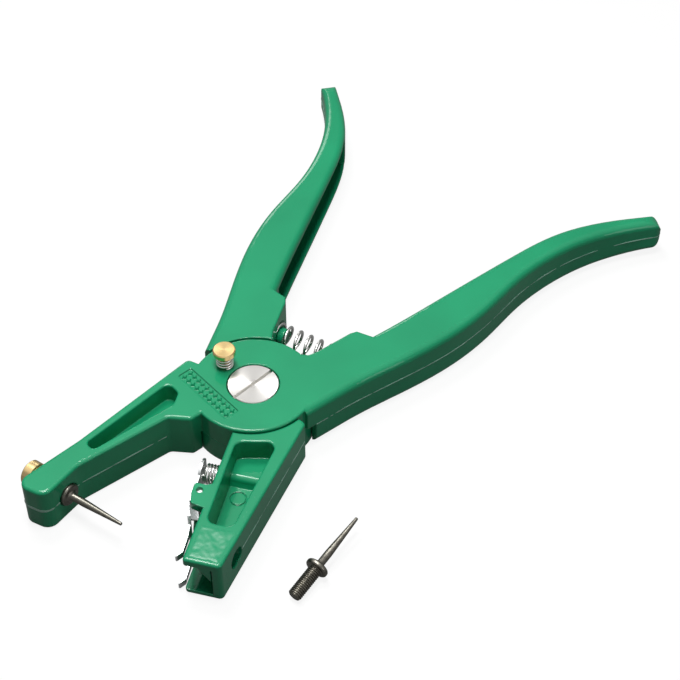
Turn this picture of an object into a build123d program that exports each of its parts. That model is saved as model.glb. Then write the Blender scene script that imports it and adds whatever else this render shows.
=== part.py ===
"""Ear tag applicator: hand pliers that push the stud of an ear tag through an animal's ear.

Two die-cast levers are half-lapped at the hub and turn on one slotted shoulder screw.
Millimetres. The origin is on the pivot axis at the resting plane. X runs from the pivot
to the jaws and Z runs up the pivot axis. The part is drawn fully open.
"""
import os
from math import asin, atan2, cos, degrees, hypot, radians, sin

from build123d import *

os.makedirs("parts", exist_ok=True)

# Driving dimensions of the hub and the two levers.
body_thickness = 19.5
tag_jaw_height = 18.5
hub_radius = 23.0
hub_clearance = 0.6
lap_height = 9.7
lap_gap = 0.1
closing_angle = 32.0
palm_round = 2.8
nose_radius = 7.0
pocket_rim_round = 0.7
flange_wall = 3.2
tip_taper = 3.0
taper_start = 70.0
taper_end = 172.0
jaw_pocket_depth = 7.6
pocket_shelf = 9.6
pocket_floor = 5.8
chamber_start = 13.8
chamber_wall = 3.2
chamber_floor = 2.0
chamber_roof = 3.0
outer_edge_angle = 10.75
stud_hole_radius = 4.0
lock_groove_depth = 2.3
lock_groove_cut = 5.0
panel_length = 28.0
panel_width = 6.0
panel_depth = 0.4
panel_x = 12.95
panel_y = -10.7
through = 3.2 * body_thickness
relief_radius = hub_radius + hub_clearance
stop_reach = 1.75 * hub_radius
needle_stop_x = -3.6
tag_stop_x = -4.6

# Pivot screw, washer and nut.
screw_head_radius = 9.5
screw_head_height = 3.9
shoulder_radius = 6.0
running_gap = 0.05
seat_gap = 0.3
screw_thread_radius = 4.0
nut_recess_radius = 10.0
nut_recess_depth = 4.9
washer_radius = 8.8
washer_height = 1.2
nut_across_flats = 13.0
nut_height = 3.2
slot_angle = -11.0
slot_width = 1.2
slot_depth = 1.6

# Needle, its lock nut, and where they sit in the needle jaw.
needle_x = 71.5
needle_height = 9.75
thread_radius = 2.5
thread_length = 12.2
flange_radius = 4.2
flange_thickness = 2.0
flange_round = 0.7
flange_seat_y = -28.8
spike_radius = 1.4
spike_straight = 6.0
spike_length = 22.6
spike_tip_radius = 0.6
thumb_nut_seat_y = -36.0
thumb_neck_radius = 3.4
thumb_neck_length = 6.4
thumb_head_radius = 4.8
thumb_head_height = 3.9

# Lock button on the hub.
button_x = -2.0
button_y = -14.2
button_head_radius = 4.2
button_head_height = 2.3
button_lift = 5.8
button_pin_radius = 1.8
ring_inner_radius = 1.3
ring_outer_radius = 3.4
ring_thickness = 0.6
ring_room_radius = 3.9
ring_room_height = 3.05
lock_spring_radius = 2.9
lock_spring_wire = 0.8

# Tag clip, which turns on a pin in two ears of the tag jaw.
clip_pin_x = 49.8
clip_pin_y = 13.5
clip_jaw_angle = 19.4
clip_pin_radius = 1.2
clip_sheet = 0.9
ear_height = 3.3
ear_gap = 0.3
prong_width = 2.8
clip_spring_x = -15.0
clip_spring_radius = 3.4
clip_spring_wire = 0.8
clip_spring_length = 6.5
clip_pad_radius = 5.0
clip_width = tag_jaw_height - 2 * (ear_height + ear_gap)
fork_width = tag_jaw_height - 0.5
fork_opening = fork_width - 2 * prong_width
clip_middle = tag_jaw_height / 2
clip_low = clip_middle - clip_width / 2
clip_high = clip_middle + clip_width / 2
fork_low = clip_middle - fork_width / 2
fork_high = clip_middle + fork_width / 2

# Where the spare needle lies beside the tag jaw.
spare_x = 59.0
spare_y = 59.1
spare_heading = 177.8

# Handle spring.
spring_seat = (-33.2, -13.7)
spring_lean = 2.5
spring_length = 29.0
spring_radius = 4.6
spring_turns = 6.2
spring_wire = 1.1
spring_boss_radius = 3.3
spring_boss_length = 4.5
spring_boss_root = 3.0
spring_bed_depth = 6.0
spring_pocket_depth = 12.0


def rounded_polygon(points, radius):
    """Make a flat face from corner points, every corner rounded alike."""
    face = make_face(Polyline(*points, close=True))
    return fillet(face.vertices(), radius)


def coil(radius, wire, length, turns):
    """Make a compression spring that stands on Z."""
    path = Helix((length - wire) / turns, length - wire, radius).moved(Pos(0, 0, wire / 2))
    section = Plane(origin=path @ 0, z_dir=path % 0) * Circle(wire / 2)
    return sweep(section, path, is_frenet=True)


# Handle grip, drawn once for the needle lever and mirrored for the tag lever.
# It is a U channel, open toward the other handle, and thins toward a rounded tip.
handle_outer = Spline(
    (-17, 29.8), (-40, 39.0), (-62, 47.0), (-84, 51.2), (-104, 52.8), (-124, 57.4), (-143, 66.0),
    (-163.8, 82.1),
    tangents=[(-0.95, 0.313), (-0.70, 0.71)],
)
handle_tip = TangentArc((-163.8, 82.1), (-168.6, 77.3), tangent=(-0.70, 0.71))
handle_inner = Spline(
    (-168.6, 77.3), (-156.0, 65.2), (-137.0, 51.9), (-112.0, 42.7), (-77.0, 32.2), (-45.4, 22.1),
    tangents=[handle_tip % 1, (0.93, -0.33)],
)
handle_back = Polyline((-45.4, 22.1), (-38, 24), (0, 8), (0.2, 24.14), (-17, 29.8))
grip = extrude(make_face([handle_outer, handle_tip, handle_inner, handle_back]), body_thickness)
tip_low = Spline((-taper_start, 0), (-taper_end, tip_taper), tangents=[(-1, 0), (-1, 0.06)])
tip_high = Spline(
    (-taper_end, body_thickness - tip_taper), (-taper_start, body_thickness),
    tangents=[(1, 0.06), (1, 0)],
)
side_view = make_face([
    Line((20, 0), (-taper_start, 0)),
    tip_low,
    Line((-taper_end, tip_taper), (-taper_end, body_thickness - tip_taper)),
    tip_high,
    Line((-taper_start, body_thickness), (20, body_thickness)),
    Line((20, body_thickness), (20, 0)),
])
grip = grip & extrude(Plane.XZ * side_view, 120, both=True)
palm_edges = [
    e for e in grip.edges()
    if abs((e @ 0.5).Z - body_thickness / 2) > 5 and (e @ 0.5).X < -50 and abs((e @ 0).X - (e @ 1).X) > 1
]
grip = fillet(palm_edges, palm_round)

# The tip ends in a full round nose, seen from the side.
nose_plane = Plane(
    origin=(-168.6, 82.1, body_thickness / 2), x_dir=(0.70, -0.71, 0), z_dir=(0.71, 0.70, 0),
)
nose_view = make_face([
    ThreePointArc((nose_radius, -nose_radius), (0, 0), (nose_radius, nose_radius)),
    Polyline(
        (nose_radius, nose_radius), (40, 20), (260, 20), (260, -20), (40, -20), (nose_radius, -nose_radius),
    ),
])
grip = grip & (nose_plane * extrude(nose_view, 200, both=True))

channel_outer = Spline(
    (-48.5, 38.6), (-62, 43.4), (-84, 47.6), (-104, 49.3), (-122, 53.4), (-136, 59.0),
)
channel_mouth = Polyline((-136, 59.0), (-141, 50), (-112, 36), (-77, 25), (-48.5, 15), (-48.5, 38.6))
channel = extrude(make_face([channel_outer, channel_mouth]), body_thickness - 2 * flange_wall)
channel = channel.moved(Pos(0, 0, flange_wall))
grip = grip - channel

# Solid root of the handle: it carries the spring seat and ends in a step before the channel.
root_points = [
    (-45.0, 25.0), (-43.7, 16.4), (-41.4, 14.8), (-26.5, 9.9), (-23.4, 8.3), (-22.0, 5.2), (-14, 0),
    (0, 10), (-40, 31),
]
root = extrude(make_face(Polyline(*root_points, close=True)), body_thickness)
root_edges = [
    e for e in root.edges()
    if e.length > 0.5 and abs((e @ 0.5).Z - body_thickness / 2) > 5
    and (e @ 0.5).Y < 23 and (e @ 0.5).X < -22
]
root = fillet(root_edges, 0.8)
handle = grip + root

# Needle jaw.
jaw_corners = [
    (0, 0), (2.6, -22.0), (3.2, -27.5), (56, -35.2), (84.0, -41.2), (82.4, -28.3), (65.4, -27.8),
    (30.4, -15.8), (26.4, -8.4), (20.6, -6.8),
]
jaw_face = make_face(Polyline(*jaw_corners, close=True))


def corner(face, x, y):
    """Find the corner of a flat face nearest a point."""
    return face.vertices().sort_by_distance((x, y, 0))[0]


jaw_face = fillet(corner(jaw_face, 3.2, -27.5), 2.0)
jaw_face = fillet(corner(jaw_face, 84.0, -41.2), 4.0)
jaw_face = fillet(corner(jaw_face, 82.4, -28.3), 4.5)
jaw_face = fillet(corner(jaw_face, 65.4, -27.8), 10.0)
jaw_face = fillet(corner(jaw_face, 30.4, -15.8), 2.5)
jaw_face = fillet(corner(jaw_face, 26.4, -8.4), 1.6)
jaw_face = fillet(corner(jaw_face, 56, -35.2), 20.0)
needle_jaw = extrude(jaw_face, body_thickness)
jaw_edges = [
    e for e in needle_jaw.edges()
    if abs((e @ 0.5).Z - body_thickness / 2) > 5 and hypot((e @ 0.5).X, (e @ 0.5).Y) > hub_radius + 0.2
]
needle_jaw = fillet(jaw_edges, 1.2)
pocket_corners = [(55.6, -32.2), (56.8, -28.2), (24.4, -17.9), (18.6, -20.0), (16.9, -25.9)]
pocket_shape = make_face(Polyline(*pocket_corners, close=True))
for x, y in pocket_corners[:2]:
    pocket_shape = fillet(corner(pocket_shape, x, y), 1.7)
for x, y in pocket_corners[2:]:
    pocket_shape = fillet(corner(pocket_shape, x, y), 2.7)
pocket = extrude(pocket_shape, jaw_pocket_depth)
needle_jaw = needle_jaw - pocket - pocket.moved(Pos(0, 0, body_thickness - jaw_pocket_depth))


def rim_edges(body, shape, level):
    """Find the edges of a pocket's mouth, at one height, along the flat shape it was cut with."""
    outline = shape.face().outer_wire()
    return [
        e for e in body.edges()
        if abs((e @ 0.5).Z - level) < 0.01
        and outline.distance_to(Vector((e @ 0.5).X, (e @ 0.5).Y, 0)) < 0.01
    ]


for level in (0, body_thickness):
    needle_jaw = fillet(rim_edges(needle_jaw, pocket_shape, level), pocket_rim_round)

# Needle lever: its hub is the upper half of the lap.
hub_low = lap_height + lap_gap
up = (Align.CENTER, Align.CENTER, Align.MIN)
hub = Cylinder(hub_radius, body_thickness - hub_low, align=up)
hub = fillet(hub.edges().sort_by(Axis.Z)[-1], 0.8).moved(Pos(0, 0, hub_low))
relief = Pos(0, 0, -1) * Cylinder(relief_radius, hub_low + 1, align=up)
stop_gap = Box(stop_reach, stop_reach, hub_low + 1, align=(Align.MIN, Align.MIN, Align.MIN))
stop_gap = stop_gap.moved(Pos(needle_stop_x, 0, -1))
needle_lever = handle - relief - stop_gap + (needle_jaw - relief) + hub

# Machined seats in the needle lever: screw, lock button, needle, spring pocket and a bare sunk panel.
screw_seat = body_thickness - 0.1 - screw_head_height
needle_lever -= Cylinder(screw_head_radius + seat_gap, through, align=up).moved(Pos(0, 0, screw_seat))
needle_lever -= Cylinder(shoulder_radius + running_gap, through, align=up)
button_spot = Pos(button_x, button_y, 0)
ring_ceiling = hub_low + ring_room_height
needle_lever -= button_spot * Cylinder(button_pin_radius + running_gap, through, align=up)
ring_room = Cylinder(ring_room_radius, ring_room_height + 1, align=up)
needle_lever -= button_spot * Pos(0, 0, hub_low - 1) * ring_room
panel = fillet(Rectangle(panel_length, panel_width).vertices(), 0.8)
panel_spot = Pos(panel_x, panel_y, body_thickness - panel_depth)
needle_lever -= panel_spot * Rot(0, 0, 75) * extrude(panel, 2)
along_needle = Pos(needle_x, 0, needle_height) * Rot(-90, 0, 0)
needle_lever -= along_needle * Pos(0, 0, -through) * Cylinder(thread_radius + 0.02, through, align=up)
flange_bore = Cylinder(flange_radius + seat_gap, through, align=up)
needle_lever -= along_needle * Pos(0, 0, flange_seat_y) * flange_bore
nut_seat = along_needle * Pos(0, 0, thumb_nut_seat_y)
nut_bore = Cylinder(thumb_neck_radius + seat_gap, through, align=up)
needle_lever -= nut_seat * Pos(0, 0, -through) * nut_bore
spring_axis = Plane(
    origin=(spring_seat[0], spring_seat[1], body_thickness / 2),
    x_dir=(0, 0, 1),
    z_dir=(-sin(radians(spring_lean)), cos(radians(spring_lean)), 0),
)
spring_end = spring_axis * Pos(0, 0, spring_length)
spring_pocket = Cylinder(spring_radius + spring_wire, spring_pocket_depth, align=up)
needle_lever -= spring_end * Pos(0, 0, -spring_pocket_depth) * spring_pocket
export_step(needle_lever, "parts/needle_lever.step")

# Tag jaw: a tapered box with a stepped pocket on top and a tag chamber at its end.
tag_corners = [(0, 4), (4.3, 26.3), (72.3, 39.2), (76.7, 26.5), (21.6, 6.7), (12, 0)]
tag_face = make_face(Polyline(*tag_corners, close=True))
tag_face = fillet(corner(tag_face, 4.3, 26.3), 1.8)
tag_face = fillet(corner(tag_face, 72.3, 39.2), 1.8)
tag_face = fillet(corner(tag_face, 76.7, 26.5), 1.2)
tag_jaw = extrude(tag_face, tag_jaw_height)
tag_edges = [
    e for e in tag_jaw.edges()
    if abs((e @ 0.5).Z - tag_jaw_height / 2) > 5 and hypot((e @ 0.5).X, (e @ 0.5).Y) > hub_radius + 1.5
]
tag_jaw = fillet(tag_edges, 1.0)

# The jaw's own frame: X along its inner edge, Y into the jaw, origin on the clip pin.
jaw_plane = Plane(
    origin=(clip_pin_x, clip_pin_y, 0),
    x_dir=(cos(radians(clip_jaw_angle)), sin(radians(clip_jaw_angle)), 0),
    z_dir=(0, 0, 1),
)
jaw_edge = 2.84
ear_face = rounded_polygon(
    [(-4.6, 5), (-2.8, 1.6), (-2.8, -2.5), (1.6, -2.5), (6.0, -1.4), (7.4, 5)], 0.9,
)
ears = jaw_plane * extrude(ear_face, ear_height)
ears += jaw_plane * Pos(0, 0, tag_jaw_height - ear_height) * extrude(ear_face, ear_height)
tag_jaw += ears
hub_pocket = rounded_polygon([(25.2, 10.8), (17.0, 23.2), (56.6, 32.4), (59.4, 23.6)], 3.0)
pocket_side = make_face([
    Polyline(
        (-17.4, pocket_shelf), (-50, pocket_shelf), (-50, 30), (50, 30), (50, pocket_floor),
        (-14.0, pocket_floor), (-14.8, 7.6),
    ),
    ThreePointArc((-14.8, 7.6), (-15.5, 9.0), (-17.4, pocket_shelf)),
])
tag_jaw -= extrude(hub_pocket, 30) & (jaw_plane * extrude(Plane.XZ * pocket_side, 80, both=True))
tag_jaw = fillet(rim_edges(tag_jaw, hub_pocket, tag_jaw_height), pocket_rim_round)
mark = jaw_plane * Pos(-9.2, 10.4, pocket_floor)
tag_jaw -= mark * (Cylinder(3.1, 0.8) - Cylinder(2.75, 0.8))
# The chamber takes the tag's cap. Its back wall keeps one thickness and has a hole for the needle point.
wall_plane = Plane(
    origin=(60.9, 37.04, needle_height),
    x_dir=(cos(radians(outer_edge_angle)), sin(radians(outer_edge_angle)), 0),
    z_dir=(-sin(radians(outer_edge_angle)), cos(radians(outer_edge_angle)), 0),
)
chamber_height = tag_jaw_height - chamber_floor - chamber_roof
chamber = Box(40, 60, chamber_height, align=(Align.MIN, Align.MIN, Align.MIN))
chamber = jaw_plane * Pos(chamber_start, -5, chamber_floor) * chamber
chamber -= wall_plane * Pos(0, 0, -chamber_wall) * Box(90, 90, 40, align=up)
mouth_rib = make_face(Polyline((13.0, 20), (13.0, 9.5), (8.4, 15.5), (8.4, 20), close=True))
chamber -= jaw_plane * extrude(Plane.YZ * mouth_rib, 20).moved(Pos(23.4, 0, 0))
tag_jaw -= chamber
tag_jaw -= wall_plane * Pos(0, 0, -chamber_wall) * Cylinder(stud_hole_radius, 3 * chamber_wall, align=up)
spring_spot = jaw_plane * Pos(clip_spring_x, jaw_edge, clip_middle) * Rot(90, 0, 0)
tag_jaw += spring_spot * Pos(0, 0, -0.5) * Cylinder(2.4, 2.0, align=up)

# Tag lever: its hub is the lower half of the lap.
tag_handle = mirror(handle, about=Plane.XZ)
upper_relief = Cylinder(relief_radius, through, align=up).moved(Pos(0, 0, lap_height))
upper_stop = Box(stop_reach, stop_reach, through, align=(Align.MIN, Align.MAX, Align.MIN))
upper_stop = upper_stop.moved(Pos(tag_stop_x, 0, lap_height))
tag_hub = Cylinder(hub_radius, lap_height, align=up)
tag_lever = (tag_handle - upper_relief - upper_stop) + (tag_jaw - upper_relief) + tag_hub
tag_lever -= Cylinder(shoulder_radius + running_gap, through)
tag_lever -= Cylinder(nut_recess_radius, nut_recess_depth, align=up)
lock_radius = hypot(button_x, button_y)
lock_start = degrees(atan2(button_y, button_x))
lock_half = button_pin_radius + 0.3
lock_groove = Cylinder(lock_radius + lock_half, lock_groove_cut, align=up)
lock_groove -= Cylinder(lock_radius - lock_half, lock_groove_cut, align=up)
lock_points = [(0, 0)]
for step in range(5):
    angle = radians(lock_start + closing_angle * step / 4)
    lock_points.append((through * cos(angle), through * sin(angle)))
lock_groove &= extrude(make_face(Polyline(*lock_points, close=True)), lock_groove_cut)
for angle in (lock_start, lock_start + closing_angle):
    end_spot = Pos(lock_radius * cos(radians(angle)), lock_radius * sin(radians(angle)), 0)
    lock_groove += end_spot * Cylinder(lock_half, lock_groove_cut, align=up)
tag_lever -= lock_groove.moved(Pos(0, 0, lap_height - lock_groove_depth))
tag_lever -= spring_axis * Cylinder(spring_radius + spring_wire, spring_bed_depth, align=up)
spring_boss = Cylinder(spring_boss_radius, spring_boss_root + spring_boss_length, align=up)
tag_lever += spring_axis * Pos(0, 0, -spring_boss_root) * spring_boss
tag_lever -= jaw_plane * Cylinder(clip_pin_radius, through)
export_step(tag_lever, "parts/tag_lever.step")

# Pivot screw with a slotted flush head, its washer and its thin nut in the recess underneath.
shoulder_end = nut_recess_depth - lap_gap
pivot_screw = Cylinder(screw_head_radius, screw_head_height, align=up).moved(Pos(0, 0, screw_seat))
pivot_screw = chamfer(pivot_screw.edges().sort_by(Axis.Z)[-1], 0.3)
pivot_screw += Pos(0, 0, shoulder_end) * Cylinder(shoulder_radius, screw_seat - shoulder_end, align=up)
thread = Cylinder(screw_thread_radius, shoulder_end, align=up)
pivot_screw += chamfer(thread.edges().sort_by(Axis.Z)[0], 0.5)
slot_low = screw_seat + screw_head_height - slot_depth
slot = Box(through, slot_width, slot_depth, align=up).moved(Pos(0, 0, slot_low))
pivot_screw -= Rot(0, 0, slot_angle) * slot
export_step(pivot_screw, "parts/pivot_screw.step")
washer = Cylinder(washer_radius, washer_height, align=up) - Cylinder(screw_thread_radius + 0.1, through)
export_step(washer.moved(Pos(0, 0, shoulder_end - washer_height)), "parts/pivot_washer.step")
nut = extrude(RegularPolygon(nut_across_flats / 2, 6, major_radius=False), nut_height)
nut &= Cylinder(nut_across_flats / 2 * 1.11, nut_height, align=up)
nut -= Cylinder(screw_thread_radius + 0.02, through)
export_step(nut.moved(Pos(0, 0, shoulder_end - washer_height - nut_height)), "parts/pivot_nut.step")

# Lock button: a brass head on a pin, its coil spring and the ring that keeps it in.
pin_low = hub_low + 0.1
head_low = body_thickness + button_lift
button = Cylinder(button_head_radius, button_head_height, align=up)
button = chamfer(button.edges().sort_by(Axis.Z)[-1], 0.35)
button = chamfer(button.edges().sort_by(Axis.Z)[0], 0.3).moved(Pos(0, 0, head_low))
button += Cylinder(button_pin_radius, head_low - pin_low, align=up).moved(Pos(0, 0, pin_low))
ring_low = ring_ceiling - 0.05 - ring_thickness
ring_groove = Cylinder(3, ring_thickness, align=up)
ring_groove -= Cylinder(ring_inner_radius, ring_thickness, align=up)
button -= ring_groove.moved(Pos(0, 0, ring_low))
export_step(button_spot * button, "parts/lock_button.step")
ring = Cylinder(ring_outer_radius, ring_thickness, align=up) - Cylinder(ring_inner_radius, 5)
ring -= Box(6, 1.6, 5, align=(Align.MIN, Align.CENTER, Align.CENTER))
export_step(button_spot * Pos(0, 0, ring_low) * ring, "parts/lock_ring.step")
lock_spring = coil(lock_spring_radius, lock_spring_wire, button_lift, 3.0)
export_step(button_spot * Pos(0, 0, body_thickness) * lock_spring, "parts/lock_spring.step")

# Needle: a threaded shank, a round flange and a long taper. One is fitted and one is spare.
shank = Cylinder(thread_radius, thread_length, align=up)
shank = chamfer(shank.edges().sort_by(Axis.Z)[0], 0.5)
flange = Cylinder(flange_radius, flange_thickness, align=up)
flange = fillet(flange.edges().filter_by(GeomType.CIRCLE), flange_round).moved(Pos(0, 0, thread_length))
spike_low = thread_length + flange_thickness
spike = Cylinder(spike_radius, spike_straight, align=up).moved(Pos(0, 0, spike_low))
taper = Cone(spike_radius, spike_tip_radius, spike_length - spike_straight, align=up)
spike += taper.moved(Pos(0, 0, spike_low + spike_straight))
needle = shank + flange + spike
export_step(along_needle * Pos(0, 0, flange_seat_y - thread_length) * needle, "parts/needle.step")
thumb_nut = Cylinder(thumb_neck_radius, thumb_neck_length, align=up).moved(Pos(0, 0, -thumb_neck_length))
head = Cylinder(thumb_head_radius, thumb_head_height, align=up)
head = chamfer(head.edges().filter_by(GeomType.CIRCLE), 0.35)
thumb_nut += head.moved(Pos(0, 0, -thumb_neck_length - thumb_head_height))
thread_reach = thread_length - (flange_seat_y - thumb_nut_seat_y)
thread_hole = Cylinder(thread_radius + 0.02, thread_reach + 0.4, align=up)
thumb_nut -= thread_hole.moved(Pos(0, 0, -thread_reach - 0.4))
export_step(nut_seat * thumb_nut, "parts/needle_nut.step")

# The spare lies on its flange and thread end, so its point is a little off the surface.
rise = flange_radius - flange_round - thread_radius
run = thread_length + flange_round - 0.5
rest_tilt = degrees(atan2(rise, run)) + degrees(asin(flange_round / hypot(rise, run)))
spare = Pos(spare_x, spare_y, 0) * Rot(0, 0, spare_heading) * Rot(0, 90 - rest_tilt, 0) * needle
spare = spare.moved(Pos(0, 0, -spare.bounding_box().min.Z))
export_step(spare, "parts/spare_needle.step")

# Tag clip: bent sheet steel with a spring pad at the tail and a forked tip.
sheet_line = Polyline(
    (-18.2, -4.3), (-9.5, -4.2), (-3.2, -3.75), (2.2, -3.75), (6.8, -2.2), (13.5, 0.9), (20.0, 1.9),
    (26.4, 2.2), (28.2, 1.0),
)
sheet_face = make_face(offset(sheet_line, clip_sheet / 2, side=Side.BOTH))
sheet = extrude(sheet_face, fork_high - fork_low).moved(Pos(0, 0, fork_low))
side_shape = Circle(clip_pad_radius).moved(Pos(clip_spring_x, clip_middle))
side_shape += Rectangle(14, 1.2 * clip_pad_radius).moved(Pos(-6.5, clip_middle))
side_shape += Rectangle(17, clip_high - clip_low).moved(Pos(5.7, clip_middle))
side_shape += make_face(Polyline(
    (9, clip_low), (15, fork_low), (35, fork_low), (35, fork_high), (15, fork_high), (9, clip_high),
    close=True,
))
side_shape -= SlotOverall(through, fork_opening).moved(Pos(15.0 + through / 2, clip_middle))
clip = sheet & extrude(Plane.XZ * side_shape, 40, both=True)
tab_face = Circle(2.5) + Rectangle(5.0, 3.6).moved(Pos(0, -1.8))
for tab_low in (clip_low, clip_high - clip_sheet):
    clip += extrude(tab_face, clip_sheet).moved(Pos(0, 0, tab_low))
clip -= Cylinder(clip_pin_radius + running_gap, through)
export_step(jaw_plane * clip, "parts/tag_clip.step")
clip_pin = Cylinder(clip_pin_radius, tag_jaw_height - 1.6, align=up).moved(Pos(0, 0, 0.4))
export_step(jaw_plane * clip_pin, "parts/clip_pin.step")
clip_spring = coil(clip_spring_radius, clip_spring_wire, clip_spring_length, 4.0)
export_step(spring_spot * Pos(0, 0, 0.04) * clip_spring, "parts/clip_spring.step")

# Handle return spring, from the boss on the tag lever into the pocket of the needle lever.
handle_spring = coil(spring_radius, spring_wire, spring_length - 0.1, spring_turns)
export_step(spring_axis * Pos(0, 0, 0.05) * handle_spring, "parts/handle_spring.step")
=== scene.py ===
"""Ear tag applicator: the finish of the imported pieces, with the springs, threads and cast detail."""
import math

import bmesh
import bpy
from mathutils import Matrix, Vector, noise


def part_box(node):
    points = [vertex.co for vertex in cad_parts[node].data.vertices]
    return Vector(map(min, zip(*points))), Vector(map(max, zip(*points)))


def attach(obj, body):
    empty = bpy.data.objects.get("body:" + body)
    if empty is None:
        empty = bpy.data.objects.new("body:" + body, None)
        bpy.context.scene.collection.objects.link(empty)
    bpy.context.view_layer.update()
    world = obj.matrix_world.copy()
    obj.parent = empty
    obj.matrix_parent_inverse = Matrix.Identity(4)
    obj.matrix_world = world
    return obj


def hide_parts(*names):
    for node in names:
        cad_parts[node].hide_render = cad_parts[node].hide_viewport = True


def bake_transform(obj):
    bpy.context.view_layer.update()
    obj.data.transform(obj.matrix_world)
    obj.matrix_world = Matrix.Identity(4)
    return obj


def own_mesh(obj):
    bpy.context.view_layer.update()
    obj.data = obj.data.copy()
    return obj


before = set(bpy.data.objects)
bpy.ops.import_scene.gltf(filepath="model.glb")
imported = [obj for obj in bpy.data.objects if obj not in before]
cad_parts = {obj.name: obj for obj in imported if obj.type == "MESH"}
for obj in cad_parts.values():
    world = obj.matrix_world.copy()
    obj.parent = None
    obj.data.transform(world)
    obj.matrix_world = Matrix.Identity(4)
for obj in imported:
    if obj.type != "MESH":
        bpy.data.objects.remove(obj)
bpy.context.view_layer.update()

# The two levers are aluminium alloy die castings, tumbled to blunt their edges and then dipped
# in green stoving enamel. The enamel is thick and glossy, so it rounds every edge and shows a
# slight orange peel, and it is hazier over the rough end of the tag jaw.
mm = 0.001
cloud_size = 28 * mm
peel_size = 2.6 * mm
peel_depth = 0.06 * mm
edge_round = 0.8 * mm


def linear(code):
    """Turn an sRGB hex colour into the linear colour that a shader takes."""
    channels = [int(code[i:i + 2], 16) / 255 for i in (1, 3, 5)]
    return [c / 12.92 if c <= 0.04045 else ((c + 0.055) / 1.055) ** 2.4 for c in channels] + [1.0]


def feed(tree, node, inputs):
    """Give each named input of a node a value or a link."""
    for name, value in inputs.items():
        if isinstance(value, bpy.types.NodeSocket):
            tree.links.new(value, node.inputs[name])
        else:
            node.inputs[name].default_value = value


def add_node(tree, kind, settings, inputs):
    """Add a node with its settings and its inputs."""
    made = tree.nodes.new(kind)
    for name, value in settings.items():
        setattr(made, name, value)
    feed(tree, made, inputs)
    return made


def speckle(tree, place, size, detail):
    """Return a cloudy value whose patches are about one size across."""
    clouds = add_node(
        tree, "ShaderNodeTexNoise", {}, {"Vector": place, "Scale": 1 / size, "Detail": detail},
    )
    return clouds.outputs["Fac"]


def two_tone(tree, share, first, second):
    """Return a colour that runs from one hex colour to another as a share runs from 0 to 1."""
    mixed = add_node(tree, "ShaderNodeMix", {"data_type": "RGBA"}, {"Factor": share})
    # The node's colour sockets share their names with its number sockets, so they go by place.
    mixed.inputs[6].default_value = linear(first)
    mixed.inputs[7].default_value = linear(second)
    return mixed.outputs[2]


def start_material(name):
    """Make a material and return it with its tree, its shader and the row frame's coordinates."""
    material = bpy.data.materials.new(name)
    material.use_nodes = True
    tree = material.node_tree
    place = add_node(tree, "ShaderNodeTexCoord", {}, {}).outputs["Object"]
    return material, tree, tree.nodes["Principled BSDF"], place


def finish_nodes(material, *names):
    """Give CAD nodes a material."""
    for name in names:
        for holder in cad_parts[name].material_slots:
            holder.material = material


def green_enamel(name, green, thin, rounding, haze=0.06):
    """Make glossy enamel that shades from one green to another and rounds the edges under it."""
    material, tree, shader, place = start_material(name)
    clouds = speckle(tree, place, cloud_size, detail=2.0)
    peel = speckle(tree, place, peel_size, detail=1.0)
    bump = add_node(
        tree, "ShaderNodeBump", {}, {"Height": peel, "Distance": peel_depth, "Strength": 0.5},
    )
    if rounding:
        soft_edges = add_node(tree, "ShaderNodeBevel", {"samples": 6}, {"Radius": rounding})
        tree.links.new(soft_edges.outputs["Normal"], bump.inputs["Normal"])
    feed(tree, shader, {
        "Base Color": two_tone(tree, clouds, green, thin),
        "Normal": bump.outputs["Normal"],
        "Coat Normal": bump.outputs["Normal"],
        "Roughness": 0.42,
        "Specular IOR Level": 0.1,
        "Coat Weight": 0.6,
        "Coat Roughness": haze,
    })
    return material


enamel = green_enamel("stoved_green_enamel_on_die_casting", "#098157", "#149868", edge_round)
crisp_enamel = green_enamel("stoved_green_enamel_on_cast_detail", "#0B875B", "#119164", None)
# The ridge's pale, near white second colour is partly thin enamel and partly a painted highlight.
ridge_enamel_with_painted_highlight = green_enamel("enamel_drawn_thin_with_painted_highlight", "#5FAB8C", "#B4D9C8", None)
hazy_enamel = green_enamel(
    "stoved_green_enamel_on_rough_casting", "#0B875B", "#119164", None, haze=0.3,
)
finish_nodes(enamel, "needle_lever", "tag_lever")

# The two halves of the mould meet half way up the levers. The metal that crept into the joint was
# ground off by hand and left a low, broken ridge, where the enamel is drawn thin and pale. Its pale,
# near white tone is partly that thin enamel and partly a painted highlight for the light the ridge
# catches. The ridge is up to twice as wide round the end of the needle jaw.
parting_height = 9.75 * mm
ridge_half_width = 0.4 * mm
ridge_reach = 0.24 * mm
ridge_sunk = 0.04 * mm
ridge_drift = 0.12 * mm
ridge_step = 0.8 * mm
long_wave = 7 * mm
short_wave = 1.7 * mm
short_share = 0.6
usual_share = 0.5
drift_wave = 11 * mm
flare_start = 72 * mm
flare_run = 8 * mm
upright_wall = 0.5


def piece_from(name, points, faces, material, smooth=True):
    """Make a mesh piece in the row frame."""
    mesh = bpy.data.meshes.new(name)
    mesh.from_pydata(points, [], faces)
    mesh.polygons.foreach_set("use_smooth", [smooth] * len(mesh.polygons))
    mesh.materials.append(material)
    piece = bpy.data.objects.new(name, mesh)
    bpy.context.collection.objects.link(piece)
    return piece


def clamp(value):
    """Keep a value between 0 and 1."""
    return min(1.0, max(0.0, value))


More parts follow.
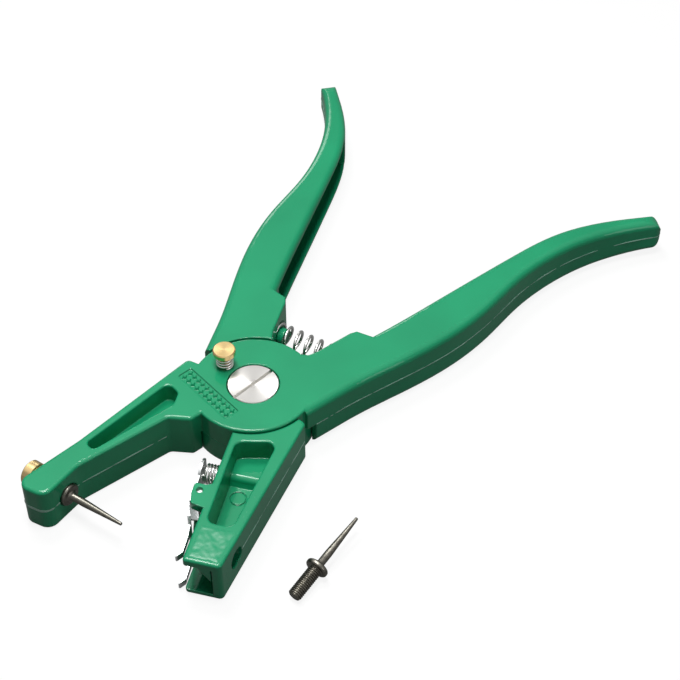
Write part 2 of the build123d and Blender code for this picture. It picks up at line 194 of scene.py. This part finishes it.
def parting_ridge(name, lever, body, wanted):
    """Make the ridge along the walls of a lever that the test picks out by place and facing."""
    cut = bmesh.new()
    cut.from_mesh(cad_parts[lever].data)
    cut.transform(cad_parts[lever].matrix_world)
    whole = cut.verts[:] + cut.edges[:] + cut.faces[:]
    plane = bmesh.ops.bisect_plane(
        cut, geom=whole, plane_co=(0, 0, parting_height), plane_no=(0, 0, 1),
    )
    points = []
    faces = []
    for edge in plane["geom_cut"]:
        if not isinstance(edge, bmesh.types.BMEdge) or not edge.link_faces:
            continue
        facing = edge.link_faces[0].normal.copy()
        facing.z = 0
        first, last = (v.co for v in edge.verts)
        if facing.length < upright_wall or not wanted((first + last) / 2, facing.normalized()):
            continue
        facing.normalize()
        steps = max(1, math.ceil((last - first).length / ridge_step))
        for i in range(steps + 1):
            at = first.lerp(last, i / steps)
            waves = noise.noise(at / long_wave) + short_share * noise.noise(at / short_wave)
            reach = ridge_reach * clamp(usual_share + waves)
            drift = Vector((0, 0, ridge_drift * noise.noise(at / drift_wave)))
            foot = at - ridge_sunk * facing + drift
            spread = ridge_half_width * (1 + clamp((at.x - flare_start) / flare_run))
            for lift, out in ((-spread, 0), (0, ridge_sunk + reach), (spread, 0)):
                points.append(foot + Vector((0, 0, lift)) + out * facing)
            if i:
                a = len(points) - 6
                faces += [(a, a + 3, a + 4, a + 1), (a + 1, a + 4, a + 5, a + 2)]
    cut.free()
    ridge = piece_from(name, points, faces, ridge_enamel_with_painted_highlight)
    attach(ridge, body)


needle_handle_start = -5 * mm
tag_handle_start = -6 * mm
handle_side = 20 * mm
handle_facing = 0.2
nose_start = -162 * mm
nose_facing = 0.3
needle_jaw_start = 28 * mm
needle_x = 71.5 * mm
flange_room = 4.6 * mm
clip_tail_x = 32.5 * mm
clip_tail_y = -18 * mm
tag_jaw_start = 6 * mm
tag_jaw_end = 60 * mm
tag_jaw_side = 26 * mm
tag_jaw_facing = 0.9


def needle_lever_walls(at, facing):
    """Pick the handle's outer wall and the jaw's walls, clear of the needle and the clip's tail."""
    on_handle = at.x < needle_handle_start and at.y > handle_side and facing.y > handle_facing
    on_nose = at.x < nose_start and facing.x < -nose_facing
    by_needle = abs(at.x - needle_x) < flange_room
    by_clip_tail = at.x < clip_tail_x and at.y > clip_tail_y
    on_jaw = at.x > needle_jaw_start and not by_needle and not by_clip_tail
    return on_handle or on_nose or on_jaw


def tag_lever_walls(at, facing):
    """Pick the outer wall of the handle and the outer wall of the jaw."""
    on_handle = at.x < tag_handle_start and at.y < -handle_side and facing.y < -handle_facing
    on_nose = at.x < nose_start and facing.x < -nose_facing
    along_jaw = tag_jaw_start < at.x < tag_jaw_end
    on_jaw = along_jaw and facing.y > tag_jaw_facing and at.y > tag_jaw_side
    return on_handle or on_nose or on_jaw


parting_ridge("needle_lever_parting_ridge", "needle_lever", "needle_side", needle_lever_walls)
parting_ridge("tag_lever_parting_ridge", "tag_lever", "tag_side", tag_lever_walls)

# The sunk panel on the hub is filled with two rows of plain lozenges, cast with the lever and
# under the same enamel. Each is a low four-sided stud with a flat top.
panel_middle = Vector((12.95, -10.7, 19.05)) * mm
panel_turn = Matrix.Rotation(math.radians(75), 3, "Z")
lozenges_per_row = 11
lozenge_pitch = 2.45 * mm
row_pitch = 2.7 * mm
lozenge_foot = (1.2 * mm, 1.3 * mm, 0)
lozenge_top = (0.55 * mm, 0.6 * mm, 0.8 * mm)
corners = 4
points = []
faces = []
for row in (-0.5, 0.5):
    for column in range(lozenges_per_row):
        along = (column - (lozenges_per_row - 1) / 2) * lozenge_pitch
        spot = Vector((along, row * row_pitch, 0))
        a = len(points)
        for half_length, half_width, lift in (lozenge_foot, lozenge_top):
            for x, y in ((half_length, 0), (0, half_width), (-half_length, 0), (0, -half_width)):
                points.append(panel_middle + panel_turn @ (spot + Vector((x, y, lift))))
        b = a + corners
        faces.append(tuple(range(b, b + corners)))
        for k in range(corners):
            following = (k + 1) % corners
            faces.append((a + k, a + following, b + following, b + k))
lozenges = piece_from(
    "cast_panel_lozenges", points, faces, crisp_enamel, smooth=False,
)
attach(lozenges, "needle_side")

# The end of the tag jaw kept the rough skin of the mould: shallow lumps under the enamel, on top
# and round the end of the pocket, which fade out toward the edges. They are laid out in
# millimetres from a corner of the jaw, x along it and y across it.
jaw_turn = math.radians(19.4)
jaw_along = Vector((math.cos(jaw_turn), math.sin(jaw_turn), 0))
jaw_across = Vector((-math.sin(jaw_turn), math.cos(jaw_turn), 0))
jaw_corner = Vector((49.8, 13.5, 18.5)) * mm
inner_edge = 4.2
outer_edge = 21.3
outer_slope = 0.152
outer_cosine = 0.989
outer_margin = 1.0
tip_edge = 28.6
pocket_end = 12.6
pocket_inner = 6.3
pocket_outer = 17.0
pocket_slope = 0.111
pocket_rim = 0.9
skin_step = 0.35
skin_start = -3.0
skin_length = 31.5
skin_side = 3.0
skin_breadth = 24.0
skin_fade = 1.6
skin_sunk = 0.12
skin_rise = 0.2
lump_size = 2.9
lump_height = 0.13
grain_size = 1.4
grain_share = 0.35


def inside(x, y):
    """Give the distance in from the edges of the jaw's flat top and from the rim of its pocket."""
    from_inner = y - inner_edge
    from_outer = outer_cosine * (outer_edge - outer_slope * x - y) - outer_margin
    from_tip = tip_edge - x
    beside_pocket = max(pocket_inner - y, y - (pocket_outer - pocket_slope * x), 0)
    from_pocket = math.hypot(max(x - pocket_end, 0), beside_pocket) - pocket_rim
    return min(from_inner, from_outer, from_tip, from_pocket, x - skin_start)


columns = int(skin_length / skin_step)
rows = int(skin_breadth / skin_step)
points = []
faces = []
for i in range(columns + 1):
    for k in range(rows + 1):
        x = skin_start + i * skin_step
        y = skin_side + k * skin_step
        at = Vector((x, y, 0))
        lumps = noise.noise(at / lump_size) + grain_share * noise.noise(at / grain_size)
        lift = clamp(inside(x, y) / skin_fade) * (skin_rise + lump_height * lumps) - skin_sunk
        points.append(jaw_corner + mm * (x * jaw_along + y * jaw_across + Vector((0, 0, lift))))
for i in range(columns):
    for k in range(rows):
        x = skin_start + (i + 0.5) * skin_step
        y = skin_side + (k + 0.5) * skin_step
        if inside(x, y) > 0:
            a = i * (rows + 1) + k
            faces.append((a, a + rows + 1, a + rows + 2, a + 1))
rough_skin = piece_from("tag_jaw_rough_skin", points, faces, hazy_enamel)
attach(rough_skin, "tag_side")

# The pivot screw is turned from bar and nickel plated. Its head has been faced in a lathe, which
# leaves rings too fine to see one by one, so they show as a soft sheen that fans out.
ring_pitch = 0.35 * mm


def spread_between(tree, share, low, high):
    """Return a value that runs from low to high as a share runs from 0 to 1."""
    ranged = add_node(
        tree, "ShaderNodeMapRange", {}, {"Value": share, "To Min": low, "To Max": high},
    )
    return ranged.outputs["Result"]


def round_the_axis(tree):
    """Return the direction round an upright axis, in which turned metal is scored."""
    radial = add_node(tree, "ShaderNodeTangent", {"direction_type": "RADIAL", "axis": "Z"}, {})
    return radial.outputs["Tangent"]


nickel, tree, shader, place = start_material("faced_nickel_plated_steel")
radius_of = add_node(tree, "ShaderNodeVectorMath", {"operation": "LENGTH"}, {0: place})
rings = add_node(
    tree, "ShaderNodeTexNoise", {"noise_dimensions": "1D"},
    {"W": radius_of.outputs["Value"], "Scale": 1 / ring_pitch, "Detail": 2.0},
)
feed(tree, shader, {
    "Base Color": linear("#DAD8D4"),
    "Metallic": 1.0,
    "Roughness": spread_between(tree, rings.outputs["Fac"], 0.22, 0.40),
    "Anisotropic": 0.6,
    "Tangent": round_the_axis(tree),
})
finish_nodes(nickel, "pivot_screw")

# The washer, the nut, the retaining ring, the clip and its pin are mild steel with a bright
# zinc plating, pressed or cropped, so they show a bluish grey gloss with faint blotches.
blotch_size = 4 * mm
zinc, tree, shader, place = start_material("bright_zinc_plated_steel")
blotches = speckle(tree, place, blotch_size, detail=4.0)
feed(tree, shader, {
    "Base Color": two_tone(tree, blotches, "#CFD3D4", "#EDEEED"),
    "Metallic": 1.0,
    "Roughness": spread_between(tree, blotches, 0.20, 0.38),
})
finish_nodes(zinc, "pivot_washer", "pivot_nut", "lock_ring", "tag_clip", "clip_pin")

# The lock button and the thumb nut of the needle are turned brass, polished but not lacquered,
# so they have dulled a little in patches.
tarnish_size = 6 * mm
brass, tree, shader, place = start_material("turned_brass")
tarnish = speckle(tree, place, tarnish_size, detail=3.0)
feed(tree, shader, {
    "Base Color": two_tone(tree, tarnish, "#E0B972", "#F3DAA6"),
    "Metallic": 1.0,
    "Roughness": 0.27,
    "Anisotropic": 0.4,
    "Tangent": round_the_axis(tree),
})
finish_nodes(brass, "lock_button", "needle_nut")

# Three coil springs of round music wire, plated bright: one opens the handles, one lifts the
# lock button and one shuts the tag clip. Their end turns are closed and lie on their seats.
wire_grain = 0.8 * mm
spring_steel, tree, shader, place = start_material("plated_spring_wire")
drawn = speckle(tree, place, wire_grain, detail=2.0)
feed(tree, shader, {
    "Base Color": linear("#DDDCD9"),
    "Metallic": 1.0,
    "Roughness": spread_between(tree, drawn, 0.14, 0.26),
})


def coil_spring(name, foot, top, coil_radius, wire_radius, turns, end_turns=1.0):
    """Make a compression spring between two points, closed for some turns at each end."""
    axis = top - foot
    length = axis.length
    axis.normalize()
    side = axis.orthogonal().normalized()
    across = axis.cross(side)
    steps_per_turn = 40
    ring_points = 14
    steps = int(steps_per_turn * turns)
    open_turns = turns - 2 * end_turns
    closed_rise = 2.02 * wire_radius
    open_rise = (length - 2 * wire_radius - 2 * end_turns * closed_rise) / open_turns
    points = []
    faces = []
    for step in range(steps + 1):
        turn = step / steps_per_turn
        opened = min(max(turn - end_turns, 0), open_turns)
        height = wire_radius + closed_rise * (turn - opened) + open_rise * opened
        angle = 2 * math.pi * turn
        outward = math.cos(angle) * side + math.sin(angle) * across
        centre = foot + height * axis + coil_radius * outward
        for k in range(ring_points):
            round_angle = 2 * math.pi * k / ring_points
            out = math.cos(round_angle) * outward + math.sin(round_angle) * axis
            points.append(centre + wire_radius * out)
    for step in range(steps):
        for k in range(ring_points):
            a = step * ring_points + k
            b = step * ring_points + (k + 1) % ring_points
            faces.append((a, b, b + ring_points, a + ring_points))
    faces.append(tuple(reversed(range(ring_points))))
    faces.append(tuple(range(steps * ring_points, (steps + 1) * ring_points)))
    return piece_from(name, points, faces, spring_steel)


handle_spring_foot = Vector((-33.2, -13.7, 9.75)) * mm
handle_spring_lean = math.radians(2.5)
handle_spring_length = 29 * mm
handle_spring_line = Vector((-math.sin(handle_spring_lean), math.cos(handle_spring_lean), 0))
handle_spring_top = handle_spring_foot + handle_spring_length * handle_spring_line
handle_spring = coil_spring(
    "handle_return_spring", handle_spring_foot, handle_spring_top,
    coil_radius=4.6 * mm, wire_radius=0.55 * mm, turns=7.7,
)
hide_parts("handle_spring")
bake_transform(handle_spring)

lock_low, lock_high = (Vector(corner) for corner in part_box("lock_spring"))
lock_middle = (lock_low + lock_high) / 2
lock_foot = Vector((lock_middle.x, lock_middle.y, lock_low.z))
lock_top = Vector((lock_middle.x, lock_middle.y, lock_high.z))
lock_spring = coil_spring(
    "lock_button_spring", lock_foot, lock_top,
    coil_radius=2.95 * mm, wire_radius=0.36 * mm, turns=4.2, end_turns=0.5,
)
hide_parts("lock_spring")
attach(lock_spring, "needle_side")
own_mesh(lock_spring)

# The needles are turned from tool steel, hardened and oil blacked. Each has an M5 threaded shank,
# a round flange and a long taper with a blunt tip, here in millimetres. The black has been rubbed
# away in patches by handling.
wear_size = 1.6 * mm
blacked, tree, shader, place = start_material("oil_blacked_tool_steel")
worn = speckle(tree, place, wear_size, detail=5.0)
feed(tree, shader, {
    "Base Color": two_tone(tree, worn, "#4A4843", "#8B887E"),
    "Metallic": 1.0,
    "Roughness": spread_between(tree, worn, 0.24, 0.45),
})
thread_radius = 2.5
thread_pitch = 0.8
thread_depth = 0.45
thread_length = 12.2
thread_end = 0.6
thread_lead_in = 0.25
crest_level = 1.25
flank_slope = 2.7
flange_radius = 4.2
flange_thickness = 2.0
flange_round = 0.8
collar_profile = ((0, 2.35), (0.12, 2.16), (0.45, 2.0), (0.62, 1.8), (0.72, 1.52), (1.0, 1.4))
spike_radius = 1.4
spike_straight = 6.0
spike_length = 22.6
spike_tip = 0.6
tip_length = 0.4
weld_distance = 0.00001 * mm


def thread_reach(along, turn):
    """Give the radius of the thread at a distance along it and a share of a turn round it."""
    phase = (along / thread_pitch - turn) % 1.0
    flank = clamp(crest_level - flank_slope * abs(phase - 0.5))
    begun = min(1.0, along / thread_end)
    fade = min(begun, (thread_length - along) / thread_end)
    cut = thread_radius - thread_depth * (1 - flank) - thread_lead_in * (1 - begun)
    return min(cut, thread_radius - thread_depth * (1 - fade))


def needle_profile():
    """List the stations of a needle: how far along, how wide, and whether it is threaded there."""
    stations = [(0, 0.0, False)]
    samples = 14
    count = int(thread_length / thread_pitch * samples)
    for i in range(count + 1):
        stations.append((i * thread_length / count, thread_radius, True))
    flange_end = thread_length + flange_thickness
    arc_steps = 8
    arc = [math.pi / 2 * i / arc_steps for i in range(arc_steps + 1)]
    for turn in arc:
        along = thread_length + flange_round * (1 - math.cos(turn))
        stations.append((along, flange_radius - flange_round * (1 - math.sin(turn)), False))
    for turn in arc:
        along = flange_end - flange_round * (1 - math.sin(turn))
        stations.append((along, flange_radius - flange_round * (1 - math.cos(turn)), False))
    for rise, radius in collar_profile:
        stations.append((flange_end + rise, radius, False))
    taper_steps = 12
    taper_length = spike_length - spike_straight - tip_length
    for i in range(taper_steps + 1):
        share = i / taper_steps
        along = flange_end + spike_straight + taper_length * share
        stations.append((along, spike_radius + (spike_tip - spike_radius) * share, False))
    tip_steps = 6
    tip_start = flange_end + spike_length - tip_length
    for i in range(1, tip_steps + 1):
        turn = math.pi / 2 * i / tip_steps
        stations.append((tip_start + tip_length * math.sin(turn), spike_tip * math.cos(turn), False))
    return stations


def needle_mesh(name, start, heading):
    """Make a needle whose thread starts at a point and whose spike points along a heading."""
    side = heading.orthogonal().normalized()
    across = heading.cross(side)
    stations = needle_profile()
    ring_points = 48
    points = []
    faces = []
    for along, radius, threaded in stations:
        for k in range(ring_points):
            turn = k / ring_points
            angle = 2 * math.pi * turn
            reach = thread_reach(along, turn) if threaded else radius
            out = reach * (math.cos(angle) * side + math.sin(angle) * across)
            points.append(start + mm * (along * heading + out))
    for row in range(len(stations) - 1):
        for k in range(ring_points):
            a = row * ring_points + k
            b = row * ring_points + (k + 1) % ring_points
            faces.append((a, b, b + ring_points, a + ring_points))
    piece = piece_from(name, points, faces, blacked)
    weld = bmesh.new()
    weld.from_mesh(piece.data)
    bmesh.ops.remove_doubles(weld, verts=weld.verts, dist=weld_distance)
    bmesh.ops.recalc_face_normals(weld, faces=weld.faces)
    weld.to_mesh(piece.data)
    weld.free()
    return piece


needle_low, needle_high = (Vector(corner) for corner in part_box("needle"))
needle_middle = (needle_low + needle_high) / 2
needle_start = Vector((needle_middle.x, needle_low.y, needle_middle.z))
needle = needle_mesh("fitted_needle", needle_start, Vector((0, 1, 0)))
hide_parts("needle")
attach(needle, "needle_side")

# The spare needle lies loose beside the jaws, on its flange and on the end of its thread, so it
# tilts up a little toward the tip.
spare_start = Vector((59.0 * mm, 59.1 * mm, 2.6 * mm))
spare_heading = math.radians(177.8)
cad_flange_round = 0.7
cad_thread_chamfer = 0.5
rise = flange_radius - cad_flange_round - thread_radius
run = thread_length + cad_flange_round - cad_thread_chamfer
spare_tilt = math.atan2(rise, run) + math.asin(cad_flange_round / math.hypot(rise, run))
level = math.cos(spare_tilt)
spare_line = Vector((
    level * math.cos(spare_heading), level * math.sin(spare_heading), math.sin(spare_tilt),
))
spare = needle_mesh("loose_spare_needle", spare_start, spare_line)
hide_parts("spare_needle")
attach(spare, "spare")

# The clip's spring is the third of the coil springs. It stands on a round spigot of the tag jaw
# and pushes the clip's tail out.
clip_spring_low, clip_spring_high = (Vector(corner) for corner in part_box("clip_spring"))
clip_spring_middle = (clip_spring_low + clip_spring_high) / 2
clip_spring_length = 6.5 * mm
clip_spring_foot = clip_spring_middle + clip_spring_length / 2 * jaw_across
clip_spring_top = clip_spring_middle - clip_spring_length / 2 * jaw_across
clip_spring = coil_spring(
    "clip_spring_coil", clip_spring_foot, clip_spring_top,
    coil_radius=3.4 * mm, wire_radius=0.4 * mm, turns=5.5,
)
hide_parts("clip_spring")
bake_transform(clip_spring)

# White studio: a matt floor that is near white to the camera and grey to the light that bounces
# off it, under a white dome. Two small soft boxes hang overhead, and a wide fill and a back lamp
# stand low at the sides.
half_floor = 4.0
camera_glow = 0.88
mirror_glow = 0.1


def work_out(tree, operation, *values):
    """Return the result of a math node."""
    made = add_node(tree, "ShaderNodeMath", {"operation": operation}, dict(enumerate(values)))
    return made.outputs["Value"]


def ray_kinds(tree):
    """Return whether a ray left the camera, and whether it was mirrored or let through."""
    rays = add_node(tree, "ShaderNodeLightPath", {}, {}).outputs
    mirrored = work_out(tree, "MAXIMUM", rays["Is Glossy Ray"], rays["Is Transmission Ray"])
    return rays["Is Camera Ray"], mirrored


floor_mesh = bpy.data.meshes.new("studio_floor")
floor_signs = ((-1, -1), (1, -1), (1, 1), (-1, 1))
floor_corners = [(x * half_floor, y * half_floor, 0) for x, y in floor_signs]
floor_mesh.from_pydata(floor_corners, [], [(0, 1, 2, 3)])
floor = bpy.data.objects.new("studio_floor", floor_mesh)
bpy.context.collection.objects.link(floor)
floor_white, tree, shader = start_material("matt_white_floor")[:3]
in_camera, mirrored = ray_kinds(tree)
feed(tree, shader, {
    "Base Color": two_tone(tree, in_camera, "#5A5A5A", "#F4F4F4"),
    "Roughness": 1.0,
})
white_share = work_out(tree, "MULTIPLY", in_camera, camera_glow)
glow_share = work_out(tree, "MULTIPLY_ADD", mirrored, mirror_glow, white_share)
glow = add_node(tree, "ShaderNodeEmission", {}, {"Color": (1, 1, 1, 1), "Strength": 1.0})
floor_mix = add_node(
    tree, "ShaderNodeMixShader", {},
    {0: glow_share, 1: shader.outputs["BSDF"], 2: glow.outputs["Emission"]},
)
feed(tree, tree.nodes["Material Output"], {"Surface": floor_mix.outputs["Shader"]})
floor_mesh.materials.append(floor_white)

dome_low = 0.55
dome_high = 0.78
dome_dim = 0.35
ambient = 0.08
world = bpy.data.worlds.new("white_studio")
bpy.context.scene.world = world
world.use_nodes = True
tree = world.node_tree
in_camera, mirrored = ray_kinds(tree)
skyward = add_node(tree, "ShaderNodeTexCoord", {}, {}).outputs["Generated"]
height = add_node(tree, "ShaderNodeSeparateXYZ", {}, {0: skyward}).outputs["Z"]
dome = add_node(
    tree, "ShaderNodeMapRange", {},
    {"Value": height, "From Min": dome_low, "From Max": dome_high, "To Min": dome_dim, "To Max": 1.0},
)
mirrored_level = work_out(tree, "MULTIPLY", mirrored, dome.outputs["Result"])
in_view = work_out(tree, "MAXIMUM", in_camera, mirrored_level)
feed(tree, tree.nodes["Background"], {
    "Color": (1, 1, 1, 1),
    "Strength": work_out(tree, "MAXIMUM", in_view, ambient),
})


def soft_lamp(name, place_at, aim_at, width, watts):
    """Hang a square soft box that faces a point."""
    light = bpy.data.lights.new(name, "AREA")
    light.shape = "SQUARE"
    light.size = width
    light.energy = watts
    lamp = bpy.data.objects.new(name, light)
    lamp.location = place_at
    lamp.rotation_euler = (Vector(aim_at) - Vector(place_at)).to_track_quat("-Z", "Y").to_euler()
    bpy.context.collection.objects.link(lamp)


tool_middle = (-0.04, 0, 0)
hub_middle = (0, 0, 0)
soft_lamp("overhead_soft_box", (0.03, 0.03, 0.8), tool_middle, width=0.2, watts=4.6)
soft_lamp("back_soft_box", (-0.14, -0.26, 0.8), tool_middle, width=0.22, watts=3.6)
soft_lamp("side_fill", (0.1, 0.9, 0.34), tool_middle, width=0.4, watts=1.0)
soft_lamp("back_strip", (-0.7, -0.75, 0.35), hub_middle, width=0.3, watts=1.2)

# The camera looks down at the tool from beyond the jaws, as in the photograph.
camera_place = Vector((317.757, 251.898, 455.574)) * mm
camera_line = Vector((-0.58011, -0.39026, -0.71496))
camera_right = Vector((-0.55818, 0.82972, 0))
camera_up = camera_right.cross(camera_line)
camera_data = bpy.data.cameras.new("camera")
camera_data.sensor_width = 36.0
camera_data.lens = 86.44
camera = bpy.data.objects.new("camera", camera_data)
turned = Matrix((camera_right, camera_up, -camera_line)).transposed().to_4x4()
camera.matrix_world = Matrix.Translation(camera_place) @ turned
bpy.context.collection.objects.link(camera)
bpy.context.scene.camera = camera
bpy.context.scene.view_settings.view_transform = "Standard"
